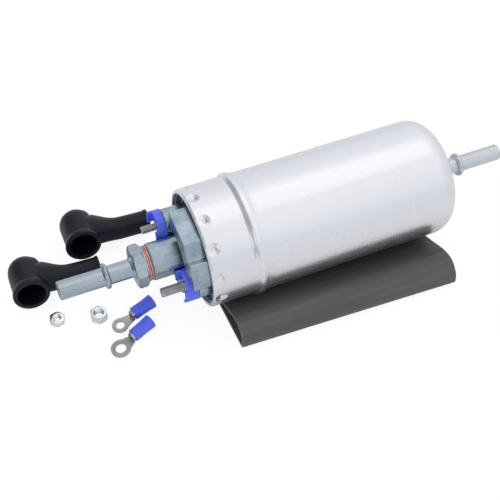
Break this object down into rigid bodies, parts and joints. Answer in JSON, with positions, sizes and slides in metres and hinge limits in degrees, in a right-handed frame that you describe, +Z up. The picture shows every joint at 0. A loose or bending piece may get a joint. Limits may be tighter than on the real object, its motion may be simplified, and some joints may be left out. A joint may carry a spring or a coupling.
{
  "type": "fuel pump",
  "caption": "In-line electric fuel pump: crimped metal can, zinc end cover with hex outlet fitting and insulated studs, inlet stub, isolating sleeve and fitting kit.",
  "frame": {"origin": "on the pump's axis, inside the plain length of can that a strap clamps", "axes": "+X along the pump from the outlet to the inlet, +Z up, with the sleeve's flat base at z = -34 mm"},
  "size_m": [0.2595, 0.1138, 0.0653],
  "materials": {
    "can": "satin drawn metal",
    "zinc_cover": "die-cast zinc, bluish grey",
    "tube_plating": "bright zinc plating",
    "copper": "bare copper",
    "steel": "turned",
    "spring_steel": "drawn wire and strip",
    "gear_steel": "sintered and ground",
    "lamination": "bare electrical steel",
    "cast_plate": "machined casting",
    "nut_plating": "zinc plated",
    "tin_plating": "tin plated",
    "brass": "machined",
    "bronze": "sintered",
    "ferrite": "matt",
    "carbon": "pressed carbon",
    "dark_plastic": "glass-filled moulding",
    "white_plastic": "natural",
    "blue_plastic": "moulded",
    "rubber": "matt",
    "boot_rubber": "satin",
    "sleeve_rubber": "satin"
  },
  "bodies": {
    "sleeve": {"isolating_sleeve": "sleeve_rubber"},
    "pump_body": {"housing_shell": "can", "inlet_tube": "tube_plating", "outlet_cover": "zinc_cover", "cover_seal_ring": "rubber", "crush_washer": "copper", "outlet_fitting": "tube_plating", "insulator_m4": "blue_plastic", "insulator_m5": "blue_plastic", "terminal_stud_m4": "steel", "terminal_stud_m5": "steel", "stud_seals": "rubber", "check_valve_seat": "brass", "check_valve_spring": "spring_steel", "brush_holder": "dark_plastic", "brush_spring_m4_side": "spring_steel", "brush_spring_m5_side": "spring_steel", "brush_caps": "brass", "brush_leads": "copper", "bush_outlet_end": "bronze", "bush_pump_end": "bronze", "magnet_upper": "ferrite", "magnet_lower": "ferrite", "magnet_clips": "spring_steel", "flux_ring": "lamination", "delivery_plate": "cast_plate", "pump_ring": "cast_plate", "intake_plate": "cast_plate", "pump_screws": "steel", "relief_spring": "spring_steel", "relief_plug": "brass", "inlet_strainer": "spring_steel"},
    "armature": {"armature_shaft": "steel", "thrust_washer": "white_plastic", "commutator": "copper", "armature_core": "lamination", "armature_windings": "copper", "inner_gear": "gear_steel"},
    "outer_rotor": {"outer_gear": "gear_steel"},
    "valve_poppet": {"check_valve_poppet": "white_plastic"},
    "relief_ball": {"relief_ball": "steel"},
    "brush_m4": {"brush_m4_side": "carbon"},
    "brush_m5": {"brush_m5_side": "carbon"},
    "boot_m4": {"terminal_boot_m4": "boot_rubber"},
    "boot_m5": {"terminal_boot_m5": "boot_rubber"},
    "loose_nut_m4": {"nut_m4": "nut_plating"},
    "loose_nut_m5": {"nut_m5": "nut_plating"},
    "ring_m4": {"ring_terminal_m4": "tin_plating", "ring_barrel_m4": "blue_plastic"},
    "ring_m5": {"ring_terminal_m5": "tin_plating", "ring_barrel_m5": "blue_plastic"}
  },
  "joints": [
    {"name": "armature_spin", "type": "hinge", "parent": "pump_body", "child": "armature", "pos_m": [0, 0, 0], "axis": [1, 0, 0], "continuous": true},
    {"name": "outer_gear_spin", "type": "hinge", "parent": "pump_body", "child": "outer_rotor", "pos_m": [0, 0.0013, 0], "axis": [1, 0, 0], "continuous": true},
    {"name": "check_valve_lift", "type": "slide", "parent": "pump_body", "child": "valve_poppet", "axis": [-1, 0, 0], "range_m": [0, 0.002], "stiffness_N_per_m": 300, "springref_m": -0.002, "deforming": ["check_valve_spring"]},
    {"name": "relief_valve_lift", "type": "slide", "parent": "pump_body", "child": "relief_ball", "axis": [1, 0, 0], "range_m": [0, 0.0018], "stiffness_N_per_m": 800, "springref_m": -0.002, "deforming": ["relief_spring"]},
    {"name": "brush_m4_slide", "type": "slide", "parent": "pump_body", "child": "brush_m4", "axis": [0, 1, 0], "range_m": [0, 0.002], "stiffness_N_per_m": 150, "springref_m": -0.004, "deforming": ["brush_spring_m4_side"]},
    {"name": "brush_m5_slide", "type": "slide", "parent": "pump_body", "child": "brush_m5", "axis": [0, -1, 0], "range_m": [0, 0.002], "stiffness_N_per_m": 150, "springref_m": -0.004, "deforming": ["brush_spring_m5_side"]},
    {"name": "pump_lift", "type": "slide", "parent": "sleeve", "child": "pump_body", "axis": [0, 0, 1], "range_m": [0, 0.05]},
    {"name": "boot_m4_lift", "type": "slide", "parent": "sleeve", "child": "boot_m4", "axis": [0, 0, 1], "range_m": [0, 0.05]},
    {"name": "boot_m5_lift", "type": "slide", "parent": "sleeve", "child": "boot_m5", "axis": [0, 0, 1], "range_m": [0, 0.05]},
    {"name": "loose_nut_m4_lift", "type": "slide", "parent": "sleeve", "child": "loose_nut_m4", "axis": [0, 0, 1], "range_m": [0, 0.05]},
    {"name": "loose_nut_m5_lift", "type": "slide", "parent": "sleeve", "child": "loose_nut_m5", "axis": [0, 0, 1], "range_m": [0, 0.02]},
    {"name": "ring_m4_lift", "type": "slide", "parent": "sleeve", "child": "ring_m4", "axis": [0, 0, 1], "range_m": [0, 0.012]},
    {"name": "ring_m5_lift", "type": "slide", "parent": "sleeve", "child": "ring_m5", "axis": [0, 0, 1], "range_m": [0, 0.02]}
  ],
  "couplings": [
    {"joint": "outer_gear_spin", "follows": "armature_spin", "ratio": 0.85714}
  ]
}
